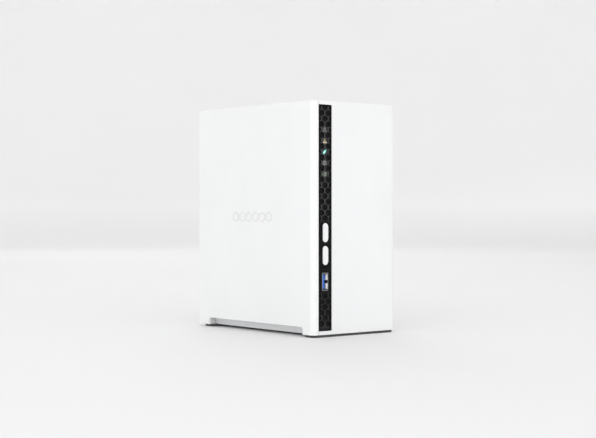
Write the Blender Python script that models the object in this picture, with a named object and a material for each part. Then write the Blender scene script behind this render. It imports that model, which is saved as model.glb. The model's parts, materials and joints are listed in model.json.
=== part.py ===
"""A two-bay desktop network storage box, built as an assembly of separate sub-parts.

+Z is up, the front faces -Y, and the origin is the centre of the footprint at the height of the surface
that the box stands on. Every size is in millimetres; MM turns them into metres where a mesh is made.
"""

import math

import bmesh
import bpy
from mathutils import Vector

MM = 0.001

# Driving dimensions
WIDTH = 90.18
DEPTH = 156.26
HEIGHT = 188.64
HALF_W = WIDTH / 2
HALF_D = DEPTH / 2
WALL = 2.2  # thickness of both case shells
GAP = 0.3  # clearance between neighbouring pieces
CORNER_R = 5.0  # upright front corners of the case
TOP_R = 1.3  # rounding of the case's top edges
CASE_BOTTOM = 2.0  # lower edge of the shells; the feet carry them this high
SEAM_X = -39.0  # parting plane between the side cover and the main shell

# Hand notches in the lower edges of both side walls
NOTCH_Y = (-65.2, 62.8)
NOTCH_TOP = 8.0
NOTCH_R = 1.8

# Rubber feet: full-width bars under the front and rear edges
FOOT_X = (-43.3, 43.3)
FRONT_FOOT_Y = (-77.4, -64.2)
REAR_FOOT_Y = (60.8, 74.0)
FOOT_R = 4.2

# Generic mark pressed into the left side: a row of hexagonal rings
MARK_COUNT = 6
MARK_SPAN = (-26.0, 28.5)
MARK_Z = 95.8
MARK_R = 4.5
MARK_LINE = 1.1
MARK_DEPTH = 0.35

# Front strip, its honeycomb and what shows through it
STRIP_X = (SEAM_X + GAP / 2, -25.5)
STRIP_Z = (5.3, 185.4)
STRIP_MID = (STRIP_X[0] + STRIP_X[1]) / 2
STRIP_FACE = -77.7
STRIP_BACK = -74.2
CELL_PITCH_X = 6.9
CELL_ROW = 4.42  # height from one row of cells to the next
CELL_RIB = 0.95
CELL_DEPTH = 0.7
CELL_MARGIN = 0.5  # plain rim between the cells and the strip's sides
ICON_TOP = 165.7  # centre of the highest lit cell; the others follow every second row
ICON_COUNT = 5
CELLS_UPPER_Z = (93.8, 183.6)
CELLS_LOWER_Z = (7.0, 34.0)
CONTROL_X = -31.7  # centre line of the buttons and the front socket
BUTTON_SIZE = (5.4, 15.3)
BUTTON_FACE = -78.05
POWER_Z = 83.5
COPY_Z = 65.3
FRONT_USB_Z = 44.4
FRONT_USB_FACE = -77.4
USB_OUTER = (14.0, 6.2)  # a type A socket's shell, across its width and its height
USB_WALL = 0.4
USB_BACK_WALL = 1.0
USB_TONGUE = (11.1, 1.85)
USB_TONGUE_GAP = 0.75  # between the tongue and the shell's wall beside it
USB_TONGUE_RECESS = 0.9  # how far the tongue stays behind the open face

# Front board behind the strip
FRONT_BOARD_Y = (-66.4, -64.8)
FRONT_BOARD_Z = (32.0, 182.0)

# Base and mainboard
TRAY_X = 42.5
TRAY_Y = (-73.8, 74.0)
TRAY_Z = (CASE_BOTTOM, 10.0)
TRAY_FLOOR = 4.0
TRAY_POCKET_X = 36.5
BOARD_X = 36.0
BOARD_Y = (-71.0, 70.5)
BOARD_Z = (12.0, 13.6)
BOARD_TOP = BOARD_Z[1] + GAP  # underside of what is soldered to the mainboard
STANDOFFS = [(-33.0, -56.0), (33.0, -56.0), (-33.0, 37.0), (33.0, 37.0)]
SCREW_R = 1.25  # shank of the small screws

# Rear panel
PANEL_Y = (74.6, 76.6)
PORT_FACE = 76.9  # sockets end just proud of the panel
COVER_SCREW_X = 39.7
COVER_SCREW_Z = (50.0, 180.0)
GRILLE_PITCH = 7.7
GRILLE_CELL_R = 3.6
GRILLE_R = 34.0
LOCK_SLOT = ((-37.5, -34.5), (28.0, 35.0))

# Sockets at the back of the mainboard
LAN_X = (16.0, 32.0)
LAN_Z = (BOARD_TOP, BOARD_TOP + 13.5)
LAN_DEPTH = 21.0
LAN_POCKET = 14.0
REAR_USB_X = (-3.0, -3.0 + USB_OUTER[0])
REAR_USB_Y = (PORT_FACE, PORT_FACE - 17.0)
REAR_USB_LOW = (BOARD_TOP, BOARD_TOP + USB_OUTER[1])
REAR_USB_HIGH = (REAR_USB_LOW[1] + 1.4, REAR_USB_LOW[1] + 1.4 + USB_OUTER[1])
INLET_X = (-27.5, -18.0)
INLET_Z = (BOARD_TOP, BOARD_TOP + 11.0)
INLET_DEPTH = 14.0
INLET_HOLE = (3.2, 10.0)  # radius and depth
RESET_X = -11.0
RESET_Z = BOARD_TOP + 3.0

# Chips, heatsink and small parts on the mainboard
CHIP_CENTRE = (0.0, 20.0)
CHIP_SIZE = 14.0
HEATSINK_X = (-11.0, 11.0)
HEATSINK_Y = (6.0, 34.0)
HEATSINK_Z = (BOARD_TOP + 1.5, BOARD_TOP + 7.3)
HEATSINK_FINS = 6
HEATSINK_FIN = 1.3
HEATSINK_BASE = 1.4
BUZZER_CENTRE = (22.0, 30.0)
COIN_CELL_CENTRE = (0.0, -54.0)
DRIVE_SOCKET_Y = (-44.0, -5.0)

# Fan
FAN_Z = 135.0
FAN_HALF = 40.0
FAN_Y = (49.3, 74.3)
FAN_BORE_R = 38.0
FAN_HOLE = 35.75  # half the spacing of the fan's screw holes
FAN_SCREW_R = 1.9
FAN_HUB_R = 15.8
FAN_HUB_Y = (52.0, 70.6)
FAN_BLADES = 7
FAN_MOUNT_SHEET = 3.0  # the disc of the frame that carries the motor
STATOR_R = 12.6
SHAFT_R = 1.5

# Drives, standing on their connectors
DRIVE = (26.1, 101.6, 147.0)
DRIVE_Y = (-60.0, -60.0 + DRIVE[1])
DRIVE_Z = (21.6, 21.6 + DRIVE[2])
DRIVE_INNER_X = 2.3
CAGE_X = 30.0
CAGE_Y = (-62.0, 43.6)
CAGE_TOP = 171.0
CAGE_SHEET = 1.0
CAGE_FOOT = 14.2
DRIVE_HOLES_Y = 47.63  # half the spacing of a 3.5 inch drive's bottom holes
DRIVE_HOLES_Z = (41.28, 117.48)  # the same holes' heights above the connector end


def clear_scene():
    """Remove whatever the start-up scene holds."""
    for obj in list(bpy.data.objects):
        bpy.data.objects.remove(obj)


def material(name, colour, roughness, metallic=0.0):
    """Make a Principled material."""
    made = bpy.data.materials.new(name)
    made.use_nodes = True
    shader = made.node_tree.nodes["Principled BSDF"]
    shader.inputs["Base Color"].default_value = (*colour, 1.0)
    shader.inputs["Roughness"].default_value = roughness
    shader.inputs["Metallic"].default_value = metallic
    made.diffuse_color = (*colour, 1.0)
    return made


# Outlines: lists of points in a plane, in order round the shape


def rectangle(a, b):
    """The corners of the rectangle a[0]..a[1] by b[0]..b[1]."""
    return [(a[0], b[0]), (a[1], b[0]), (a[1], b[1]), (a[0], b[1])]


def rounded(a, b, radius, steps=4):
    """A rectangle with round corners. radius is one number, or four from the low corner on, anticlockwise."""
    radii = radius if isinstance(radius, (list, tuple)) else [radius] * 4
    points = []
    for index, (corner, r) in enumerate(zip(rectangle(a, b), radii)):
        if r == 0:
            points.append(corner)
            continue
        inward_a = 1 if corner[0] == a[0] else -1
        inward_b = 1 if corner[1] == b[0] else -1
        centre = (corner[0] + inward_a * r, corner[1] + inward_b * r)
        start = math.pi + index * math.pi / 2
        for step in range(steps + 1):
            angle = start + step * math.pi / 2 / steps
            points.append((centre[0] + r * math.cos(angle), centre[1] + r * math.sin(angle)))
    return points


def circle(centre, radius, sides=16):
    """A regular polygon that stands for a circle."""
    turn = 2 * math.pi / sides
    return [
        (centre[0] + radius * math.cos((i + 0.5) * turn), centre[1] + radius * math.sin((i + 0.5) * turn))
        for i in range(sides)
    ]


def hexagon(centre, radius):
    """A regular hexagon with a corner at the top."""
    return [
        (centre[0] + radius * math.sin(k * math.pi / 3), centre[1] + radius * math.cos(k * math.pi / 3))
        for k in range(6)
    ]


def cell(centre, half_width, row):
    """A pointed-top cell whose upright sides and slopes share one row's height."""
    upright = row * 0.28
    tip = upright + row * 0.44 * half_width / (CELL_PITCH_X / 2)
    x, z = centre
    return [
        (x + half_width, z - upright),
        (x + half_width, z + upright),
        (x, z + tip),
        (x - half_width, z + upright),
        (x - half_width, z - upright),
        (x, z - tip),
    ]


def centred(middle, size):
    """The range of this size around a middle value."""
    return (middle - size / 2, middle + size / 2)


# Solids: each adds one closed body to a bmesh


def add_prism(bm, outline, axis, low, high):
    """Extrude an outline, whose points lie along the other two axes in X, Y, Z order."""
    place = {
        "X": lambda a, b, t: (t, a, b),
        "Y": lambda a, b, t: (a, t, b),
        "Z": lambda a, b, t: (a, b, t),
    }[axis]
    lower = [bm.verts.new(place(a, b, low)) for a, b in outline]
    upper = [bm.verts.new(place(a, b, high)) for a, b in outline]
    bm.faces.new(lower)
    bm.faces.new(upper)
    for i in range(len(outline)):
        j = (i + 1) % len(outline)
        bm.faces.new((lower[i], lower[j], upper[j], upper[i]))


def add_box(bm, x, y, z):
    """A box between the two ends of each range."""
    add_prism(bm, rectangle(x, y), "Z", z[0], z[1])


def add_cylinder(bm, axis, centre, radius, low, high, sides=16):
    """A cylinder along an axis."""
    add_prism(bm, circle(centre, radius, sides), axis, low, high)


def bevel_edges(bm, wanted, width, steps):
    """Round the edges whose two ends both satisfy a test."""
    edges = [edge for edge in bm.edges if all(wanted(v.co) for v in edge.verts)]
    bmesh.ops.bevel(bm, geom=edges, offset=width, segments=steps, affect="EDGES", profile=0.5)


# Objects


def finish_object(name, bm, finish=None, origin=(0.0, 0.0, 0.0)):
    """Turn a bmesh in millimetres into an object in metres, with its origin at the given point."""
    bmesh.ops.recalc_face_normals(bm, faces=bm.faces)
    bmesh.ops.translate(bm, verts=bm.verts, vec=-Vector(origin))
    bmesh.ops.scale(bm, verts=bm.verts, vec=(MM, MM, MM))
    mesh = bpy.data.meshes.new(name)
    bm.to_mesh(mesh)
    bm.free()
    mesh.shade_smooth()
    mesh.set_sharp_from_angle(angle=math.radians(35))
    if finish:
        mesh.materials.append(finish)
    obj = bpy.data.objects.new(name, mesh)
    obj.location = Vector(origin) * MM
    bpy.context.scene.collection.objects.link(obj)
    return obj


def combine(target, bm, operation):
    """Cut a bmesh out of an object, or join it on, with a Boolean modifier."""
    name = f"{target.name}_tool_{len(target.modifiers) + 1}"
    tool = finish_object(name, bm)
    tool.hide_render = True
    tool.display_type = "WIRE"
    modifier = target.modifiers.new(name, "BOOLEAN")
    modifier.operation = operation
    modifier.solver = "EXACT"
    modifier.object = tool


def cut(target, bm):
    combine(target, bm, "DIFFERENCE")


def join(target, bm):
    combine(target, bm, "UNION")


def prism_object(name, finish, outline, axis, low, high, origin=(0.0, 0.0, 0.0)):
    """An object that is one extruded outline."""
    bm = bmesh.new()
    add_prism(bm, outline, axis, low, high)
    return finish_object(name, bm, finish, origin)


def box_object(name, finish, x, y, z, bevel=0.0):
    """An object that is one box, with its edges bevelled if asked."""
    bm = bmesh.new()
    add_box(bm, x, y, z)
    if bevel:
        bevel_edges(bm, lambda point: True, bevel, 1)
    return finish_object(name, bm, finish)


def cut_prism(target, outline, axis, low, high):
    bm = bmesh.new()
    add_prism(bm, outline, axis, low, high)
    cut(target, bm)


def join_prism(target, outline, axis, low, high):
    bm = bmesh.new()
    add_prism(bm, outline, axis, low, high)
    join(target, bm)


# Case shells and base


def case_blank(name, finish):
    """The outer form that both shells are cut from, hollow and open at the back and below."""
    bm = bmesh.new()
    plan = rounded((-HALF_W, HALF_W), (-HALF_D, HALF_D), (CORNER_R, CORNER_R, 0, 0), 8)
    add_prism(bm, plan, "Z", CASE_BOTTOM, HEIGHT)
    bevel_edges(bm, lambda point: point.z > HEIGHT - 0.01, TOP_R, 3)
    blank = finish_object(name, bm, finish)
    inner_x = HALF_W - WALL
    inner = rounded((-inner_x, inner_x), (-HALF_D + WALL, HALF_D + 5), (1.5, 1.5, 0, 0), 3)
    cut_prism(blank, inner, "Z", CASE_BOTTOM - 5, HEIGHT - WALL)
    notch = rounded(NOTCH_Y, (CASE_BOTTOM - 5, NOTCH_TOP), (0, 0, NOTCH_R, NOTCH_R), 4)
    cut_prism(blank, notch, "X", -HALF_W - 5, HALF_W + 5)
    return blank


def add_screw_bosses(shell, side):
    """Two bosses on the inside of a side wall, with holes along Y for the rear screws."""
    bosses = bmesh.new()
    holes = bmesh.new()
    wall_side = sorted((side * (HALF_W - WALL + 0.8), side * 36.5))
    for z in COVER_SCREW_Z:
        add_box(bosses, wall_side, (66.0, PANEL_Y[0] - GAP), centred(z, 5.6))
        add_cylinder(holes, "Y", (side * COVER_SCREW_X, z), SCREW_R + GAP, 60.0, 80.0, 12)
    join(shell, bosses)
    cut(shell, holes)


def make_main_shell(finish):
    shell = case_blank("main_shell", finish)
    seam = bmesh.new()
    add_box(seam, (-HALF_W - 5, SEAM_X + GAP / 2), (-HALF_D - 5, HALF_D + 5), (-5, HEIGHT + 5))
    cut(shell, seam)
    slot_x = (SEAM_X - 2, STRIP_X[1] + GAP)
    slot = rounded(slot_x, (STRIP_Z[0] - GAP, STRIP_Z[1] + GAP), (0, 0.8, 0.8, 0), 3)
    cut_prism(shell, slot, "Y", -HALF_D - 5, -HALF_D + WALL + 1)
    add_screw_bosses(shell, 1)


def press_mark(cover):
    """Press the row of hexagonal rings into the cover's outer face: wide pockets, then islands put back."""
    pockets = bmesh.new()
    islands = bmesh.new()
    face = -HALF_W
    pitch = (MARK_SPAN[1] - MARK_SPAN[0] - 2 * MARK_R) / (MARK_COUNT - 1)
    for index in range(MARK_COUNT):
        centre = (MARK_SPAN[0] + MARK_R + index * pitch, MARK_Z)
        add_prism(pockets, hexagon(centre, MARK_R), "X", face - 2, face + MARK_DEPTH)
        add_prism(islands, hexagon(centre, MARK_R - MARK_LINE), "X", face, face + MARK_DEPTH + 0.4)
    cut(cover, pockets)
    join(cover, islands)


def make_side_cover(finish):
    """The cover slides forward off the main shell. Tabs under the top edge keep the seam level."""
    cover = case_blank("side_cover", finish)
    seam = bmesh.new()
    add_box(seam, (SEAM_X - GAP / 2, HALF_W + 5), (-HALF_D - 5, HALF_D + 5), (-5, HEIGHT + 5))
    cut(cover, seam)
    tabs = bmesh.new()
    for y in (-45.0, 0.0, 45.0):
        add_box(tabs, (-HALF_W + 1, -36.0), centred(y, 10.0), (184.0, HEIGHT - WALL - GAP))
    join(cover, tabs)
    add_screw_bosses(cover, -1)
    press_mark(cover)


def make_base_tray(finish):
    """A shallow tray, waisted beside the hand notches, with air slots and four board standoffs."""
    bm = bmesh.new()
    add_prism(bm, rounded((-TRAY_X, TRAY_X), TRAY_Y, 3.0), "Z", TRAY_Z[0], TRAY_Z[1])
    tray = finish_object("base_tray", bm, finish)
    pocket_y = (TRAY_Y[0] + 2, TRAY_Y[1] - 2)
    pocket = rounded((-TRAY_POCKET_X, TRAY_POCKET_X), pocket_y, 2.0)
    cut_prism(tray, pocket, "Z", TRAY_FLOOR, TRAY_Z[1] + 5)
    waists = bmesh.new()
    for side in (-1, 1):
        profile = [(side * 50.0, 0.0), (side * 36.8, 0.0), (side * 39.5, 8.6), (side * 50.0, 8.6)]
        add_prism(waists, profile, "Y", NOTCH_Y[0] - 0.8, NOTCH_Y[1] + 0.8)
    cut(tray, waists)
    slots = bmesh.new()
    for side in (-1, 1):
        for row in range(8):
            y = -49.0 + row * 11.0
            add_prism(slots, rounded(centred(side * 17.0, 22.0), centred(y, 3.2), 1.5, 2), "Z", 0.0, 6.0)
    cut(tray, slots)
    posts = bmesh.new()
    pilots = bmesh.new()
    for place in STANDOFFS:
        add_cylinder(posts, "Z", place, 3.0, TRAY_FLOOR - 1, BOARD_Z[0] - GAP, 12)
        add_cylinder(pilots, "Z", place, SCREW_R + GAP, TRAY_FLOOR + 1, BOARD_Z[0] + 5, 10)
    join(tray, posts)
    cut(tray, pilots)


def make_foot(name, finish, y):
    """A full-width rubber bar with round ends and a chamfered lower edge."""
    bm = bmesh.new()
    add_prism(bm, rounded(FOOT_X, y, FOOT_R, 5), "Z", 0.0, CASE_BOTTOM - GAP)
    bevel_edges(bm, lambda point: point.z < 0.01, 0.5, 1)
    finish_object(name, bm, finish)


def make_rear_panel(finish):
    outline = rounded((-TRAY_X, TRAY_X), (CASE_BOTTOM + 0.4, HEIGHT - WALL - 0.4), 1.5, 3)
    panel = prism_object("rear_panel", finish, outline, "Y", PANEL_Y[0], PANEL_Y[1])
    through = (PANEL_Y[0] - 3, PANEL_Y[1] + 3)

    grille = bmesh.new()
    row_height = GRILLE_PITCH * math.sqrt(3) / 2
    for row in range(-5, 6):
        for column in range(-6, 7):
            x = (column + 0.5 * (row % 2)) * GRILLE_PITCH
            z = row * row_height
            if math.hypot(x, z) < GRILLE_R:
                add_prism(grille, hexagon((x, FAN_Z + z), GRILLE_CELL_R), "Y", *through)
    cut(panel, grille)

    openings = bmesh.new()
    for side in (-1, 1):
        for z in COVER_SCREW_Z:
            add_cylinder(openings, "Y", (side * COVER_SCREW_X, z), SCREW_R + GAP, *through, 12)
        for up in (-1, 1):
            place = (side * FAN_HOLE, FAN_Z + up * FAN_HOLE)
            add_cylinder(openings, "Y", place, FAN_SCREW_R + GAP, *through, 12)
    usb_pair_z = (REAR_USB_LOW[0], REAR_USB_HIGH[1])
    for x, z in ((LAN_X, LAN_Z), (REAR_USB_X, usb_pair_z), (INLET_X, INLET_Z)):
        window = rounded((x[0] - GAP, x[1] + GAP), (z[0] - GAP, z[1] + GAP), 0.6, 2)
        add_prism(openings, window, "Y", *through)
    add_cylinder(openings, "Y", (RESET_X, RESET_Z), 1.2, *through, 12)
    add_prism(openings, rounded(*LOCK_SLOT, 1.2, 3), "Y", *through)
    cut(panel, openings)


# Front strip and controls


def strip_cells():
    """Every honeycomb cell of the strip: its centre and whether it lies on the middle column."""
    cells = []
    last_row = math.ceil((ICON_TOP - CELLS_LOWER_Z[0]) / CELL_ROW)
    for row in range(-4, last_row + 1):
        z = ICON_TOP - row * CELL_ROW
        inside = any(low < z < high for low, high in (CELLS_UPPER_Z, CELLS_LOWER_Z))
        if not inside:
            continue
        offsets = (-1, 0, 1) if row % 2 == 0 else (-0.5, 0.5)
        for offset in offsets:
            lit = offset == 0 and 0 <= row < 2 * ICON_COUNT
            cells.append((STRIP_MID + offset * CELL_PITCH_X, z, lit))
    return cells


def make_front_strip(finish):
    """A bar that fills the slot in the front, with a flange that stays behind the shells."""
    bar = rounded(STRIP_X, STRIP_Z, 0.6, 2)
    strip = prism_object("front_strip", finish, bar, "Y", STRIP_FACE, STRIP_BACK - 0.4)
    flange = rectangle((STRIP_X[0] - 1.6, STRIP_X[1] + 1.6), (STRIP_Z[0] - 1.0, STRIP_Z[1] + 0.6))
    join_prism(strip, flange, "Y", -HALF_D + WALL + GAP, STRIP_BACK)

    half_width = (CELL_PITCH_X - CELL_RIB) / 2
    pockets = bmesh.new()
    windows = bmesh.new()
    limits = (STRIP_X[0] + CELL_MARGIN, STRIP_X[1] - CELL_MARGIN)
    for x, z, lit in strip_cells():
        outline = cell((x, z), half_width, CELL_ROW)
        if lit:
            add_prism(windows, outline, "Y", STRIP_FACE - 2, STRIP_BACK + 2)
            continue
        add_prism(pockets, clipped(outline, limits), "Y", STRIP_FACE - 2, STRIP_FACE + CELL_DEPTH)
    cut(strip, pockets)

    for z in (POWER_Z, COPY_Z):
        width, height = BUTTON_SIZE[0] + 2 * GAP, BUTTON_SIZE[1] + 2 * GAP
        hole = rounded(centred(CONTROL_X, width), centred(z, height), width / 2 - 0.01, 6)
        add_prism(windows, hole, "Y", STRIP_FACE - 2, STRIP_BACK + 2)
    socket_x = centred(CONTROL_X, USB_OUTER[1] + 2 * GAP)
    socket_z = centred(FRONT_USB_Z, USB_OUTER[0] + 2 * GAP)
    add_prism(windows, rounded(socket_x, socket_z, 0.6, 2), "Y", STRIP_FACE - 2, STRIP_BACK + 2)
    cut(strip, windows)


def clipped(outline, limits):
    """The part of a convex outline that lies between two limits of its first coordinate."""
    for limit, keep_above in ((limits[0], True), (limits[1], False)):
        kept = []
        for i, (a, b) in enumerate(outline):
            next_a, next_b = outline[(i + 1) % len(outline)]
            here = a >= limit if keep_above else a <= limit
            there = next_a >= limit if keep_above else next_a <= limit
            if here:
                kept.append((a, b))
            if here != there:
                share = (limit - a) / (next_a - a)
                kept.append((limit, b + share * (next_b - b)))
        outline = kept
    return outline


def make_button(name, finish, z):
    """A long push button: its face fills the hole in the strip, a flange behind keeps it from falling out."""
    bm = bmesh.new()
    width, height = BUTTON_SIZE
    outline = rounded(centred(CONTROL_X, width), centred(z, height), width / 2 - 0.01, 6)
    add_prism(bm, outline, "Y", BUTTON_FACE, -73.4)
    bevel_edges(bm, lambda point: point.y < BUTTON_FACE + 0.05, 0.4, 2)
    button = finish_object(name, bm, finish, (CONTROL_X, -76.0, z))
    join_prism(button, rectangle(centred(CONTROL_X, 8.6), centred(z, 9.0)), "Y", -73.9, -72.9)
    join_prism(button, circle((CONTROL_X, z), 1.4, 12), "Y", -73.2, -71.7)


def make_push_switch(name, plunger_name, body_finish, plunger_finish, z):
    """A square switch on the front board, and the plunger that the button's stem pushes."""
    switch = box_object(
        name, body_finish, centred(CONTROL_X, 6.0), (-69.9, FRONT_BOARD_Y[0] - GAP), centred(z, 6.0), 0.3
    )
    cut_prism(switch, circle((CONTROL_X, z), 1.8, 12), "Y", -72.0, -67.4)
    plunger = circle((CONTROL_X, z), 1.5, 12)
    prism_object(plunger_name, plunger_finish, plunger, "Y", -71.4, -68.6, (CONTROL_X, -70.0, z))


def make_light_pipes(finishes):
    """One clear rod behind each lit cell, from the strip's face back to its lamp on the front board."""
    half_width = (CELL_PITCH_X - CELL_RIB) / 2 - GAP
    for index, finish in enumerate(finishes):
        centre = (STRIP_MID, ICON_TOP - 2 * index * CELL_ROW)
        outline = cell(centre, half_width, CELL_ROW * 0.86)
        prism_object(f"light_pipe_{index + 1}", finish, outline, "Y", STRIP_FACE + 0.35, -67.6)


def make_front_board(finish):
    x = (STRIP_X[0] - 1.1, STRIP_X[1] + 1.8)
    board = box_object("front_board", finish, x, FRONT_BOARD_Y, FRONT_BOARD_Z)
    holes = bmesh.new()
    for z in (FRONT_BOARD_Z[0] + 4, FRONT_BOARD_Z[1] - 4):
        add_cylinder(holes, "Y", (STRIP_X[0] + 2.4, z), 1.6, FRONT_BOARD_Y[0] - 2, FRONT_BOARD_Y[1] + 2, 12)
    cut(board, holes)


def make_usb_socket(name, shell_finish, tongue_finish, across, width, height, depth, tongue_side):
    """A type A socket along Y. across is "X" or "Z", the way its width runs.

    width and height are its outer ranges, and depth is (open face, closed back). tongue_side is -1 or 1: the
    side of the opening's height that the tongue lies nearest.
    """
    face, back = depth
    towards = 1 if back > face else -1

    def outline(width_range, height_range):
        if across == "X":
            return rectangle(width_range, height_range)
        return rectangle(height_range, width_range)

    shell = prism_object(name, shell_finish, outline(width, height), "Y", *sorted(depth))
    inner_width = (width[0] + USB_WALL, width[1] - USB_WALL)
    inner_height = (height[0] + USB_WALL, height[1] - USB_WALL)
    floor = back - towards * USB_BACK_WALL
    cut_prism(shell, outline(inner_width, inner_height), "Y", *sorted((face - towards * 2, floor)))
    edge = inner_height[0] + USB_TONGUE_GAP if tongue_side < 0 else inner_height[1] - USB_TONGUE_GAP
    tongue = outline(
        centred(sum(width) / 2, USB_TONGUE[0]),
        sorted((edge, edge - tongue_side * USB_TONGUE[1])),
    )
    reach = sorted((face + towards * USB_TONGUE_RECESS, floor - towards * GAP))
    prism_object(f"{name}_tongue", tongue_finish, tongue, "Y", *reach)


# Mainboard and what is on it

def make_mainboard(finish):
    board = box_object("mainboard", finish, (-BOARD_X, BOARD_X), BOARD_Y, BOARD_Z)
    holes = bmesh.new()
    for place in STANDOFFS:
        add_cylinder(holes, "Z", place, 1.8, BOARD_Z[0] - 2, BOARD_Z[1] + 2, 12)
    cut(board, holes)


def make_board_chips(chip_finish, cell_finish):
    chip_x, chip_y = (centred(middle, CHIP_SIZE) for middle in CHIP_CENTRE)
    box_object("processor", chip_finish, chip_x, chip_y, (BOARD_TOP, BOARD_TOP + 1.2), 0.2)
    box_object("memory_chip", chip_finish, (19.0, 27.0), (8.0, 20.0), (BOARD_TOP, BOARD_TOP + 1.1), 0.2)
    bm = bmesh.new()
    add_cylinder(bm, "Z", BUZZER_CENTRE, 4.5, BOARD_TOP, BOARD_TOP + 5.0, 20)
    buzzer = finish_object("buzzer", bm, chip_finish)
    cut_prism(buzzer, circle(BUZZER_CENTRE, 1.0, 10), "Z", BOARD_TOP + 4.0, BOARD_TOP + 7.0)
    bm = bmesh.new()
    add_cylinder(bm, "Z", COIN_CELL_CENTRE, 8.0, BOARD_TOP, BOARD_TOP + 3.0, 28)
    bevel_edges(bm, lambda point: point.z > BOARD_TOP + 2.9, 0.4, 1)
    finish_object("coin_cell", bm, cell_finish)


def make_heatsink(finish):
    """A comb of upright fins on a plate, extruded along Y."""
    left, right = HEATSINK_X
    base, top = HEATSINK_Z
    valley = base + HEATSINK_BASE
    pitch = (right - left - HEATSINK_FIN) / (HEATSINK_FINS - 1)
    teeth = []
    for fin in range(HEATSINK_FINS):
        start = left + fin * pitch
        end = start + HEATSINK_FIN
        teeth += [(start, valley), (start, top), (end, top), (end, valley)]
    comb = [(left, base), *teeth[1:-1], (right, base)]
    prism_object("heatsink", finish, comb, "Y", *HEATSINK_Y)


def make_lan_socket(finish):
    """An eight-way network socket with the stepped keyway for the plug's latch at its lower edge."""
    outer = rectangle(LAN_X, LAN_Z)
    socket = prism_object("lan_socket", finish, outer, "Y", PORT_FACE - LAN_DEPTH, PORT_FACE)
    middle = sum(LAN_X) / 2
    key_z, step_z, floor_z, top_z = (LAN_Z[0] + level for level in (1.2, 2.4, 4.0, 12.2))
    steps = [(1.7, key_z), (1.7, step_z), (3.2, step_z), (3.2, floor_z), (5.95, floor_z), (5.95, top_z)]
    outline = [(middle + x, z) for x, z in steps] + [(middle - x, z) for x, z in reversed(steps)]
    cut_prism(socket, outline, "Y", PORT_FACE - LAN_POCKET, PORT_FACE + 5)


def make_power_inlet(finish, pin_finish):
    """A round direct current inlet in a block, with its centre pin."""
    centre = (sum(INLET_X) / 2, INLET_Z[0] + 6.0)
    block = rounded(INLET_X, INLET_Z, 0.8, 2)
    inlet = prism_object("power_inlet", finish, block, "Y", PORT_FACE - INLET_DEPTH, PORT_FACE)
    radius, depth = INLET_HOLE
    floor = PORT_FACE - depth
    cut_prism(inlet, circle(centre, radius, 20), "Y", floor, PORT_FACE + 5)
    prism_object("power_inlet_pin", pin_finish, circle(centre, 1.0, 12), "Y", floor + GAP, PORT_FACE - 1.0)


def make_reset_switch(finish, plunger_finish):
    """A small switch behind the reset hole, pressed forward by a pin pushed through the hole."""
    centre = (RESET_X, RESET_Z)
    across, upright = centred(RESET_X, 6.0), centred(RESET_Z, 6.0)
    switch = box_object("reset_switch", finish, across, (67.6, 71.4), upright, 0.3)
    cut_prism(switch, circle(centre, 1.5, 12), "Y", 68.4, 75.0)
    origin = (RESET_X, 71.0, RESET_Z)
    prism_object("reset_plunger", plunger_finish, circle(centre, 1.2, 12), "Y", 69.3, 73.4, origin)


def make_drive_sockets(finish):
    """One upright socket under each drive, with a long and a short contact groove."""
    for name, side in (("drive_socket_left", -1), ("drive_socket_right", 1)):
        x = sorted((side * 12.5, side * 18.5))
        socket = box_object(name, finish, x, DRIVE_SOCKET_Y, (BOARD_TOP, DRIVE_Z[0] - GAP))
        grooves = bmesh.new()
        for y in ((-42.0, -20.0), (-18.0, -7.0)):
            add_box(grooves, centred(side * 15.5, 1.8), y, (DRIVE_Z[0] - 4.0, DRIVE_Z[0] + 4))
        cut(socket, grooves)


# Drives and their cage


def make_drive(name, finish, side):
    """A 3.5 inch drive on end, with its board side facing the cage's plate."""
    x = sorted((side * DRIVE_INNER_X, side * (DRIVE_INNER_X + DRIVE[0])))
    drive = box_object(name, finish, x, DRIVE_Y, DRIVE_Z, 1.2)
    outer = side * (DRIVE_INNER_X + DRIVE[0])
    middle_y = sum(DRIVE_Y) / 2
    recess = rounded((middle_y - 36.0, middle_y + 36.0), (DRIVE_Z[0] + 8.0, DRIVE_Z[0] + 62.0), 6.0, 3)
    reach = sorted((outer - side * 1.2, outer + side * 5))
    cut_prism(drive, recess, "X", *reach)
    holes = bmesh.new()
    for way in (-1, 1):
        for z in DRIVE_HOLES_Z:
            place = (middle_y + way * DRIVE_HOLES_Y, DRIVE_Z[0] + z)
            add_cylinder(holes, "X", place, 1.8, *sorted((outer - side * 5, outer + side * 5)), 10)
    cut(drive, holes)


def make_drive_cage(finish):
    """One folded sheet: two upright plates, a top and two feet that bear on the mainboard's edges."""
    outer, sheet = CAGE_X, CAGE_SHEET
    right = [
        (outer - sheet, CAGE_FOOT),
        (outer + 6.3, CAGE_FOOT),
        (outer + 6.3, CAGE_FOOT + sheet),
        (outer, CAGE_FOOT + sheet),
        (outer, CAGE_TOP),
    ]
    inner = [(outer - sheet, CAGE_FOOT), (outer - sheet, CAGE_TOP - sheet)]
    half = right[1:] + [(-x, z) for x, z in reversed(right[1:])]
    fold = half + [(-x, z) for x, z in inner] + [(x, z) for x, z in reversed(inner)]
    cage = prism_object("drive_cage", finish, fold, "Y", *CAGE_Y)

    middle_y = sum(DRIVE_Y) / 2
    sides = bmesh.new()
    for way in (-1, 1):
        for z in DRIVE_HOLES_Z:
            place = (middle_y + way * DRIVE_HOLES_Y, DRIVE_Z[0] + z)
            add_cylinder(sides, "X", place, 1.8, -CAGE_X - 5, CAGE_X + 5, 8)
    cut(cage, sides)
    upright = bmesh.new()
    top_window = rounded((-22.0, 22.0), (CAGE_Y[0] + 12, CAGE_Y[1] - 12), 5.0, 3)
    add_prism(upright, top_window, "Z", CAGE_TOP - 5, CAGE_TOP + 5)
    for place in STANDOFFS:
        add_cylinder(upright, "Z", place, 1.8, CAGE_FOOT - 2, CAGE_FOOT + 5, 12)
    cut(cage, upright)


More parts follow.
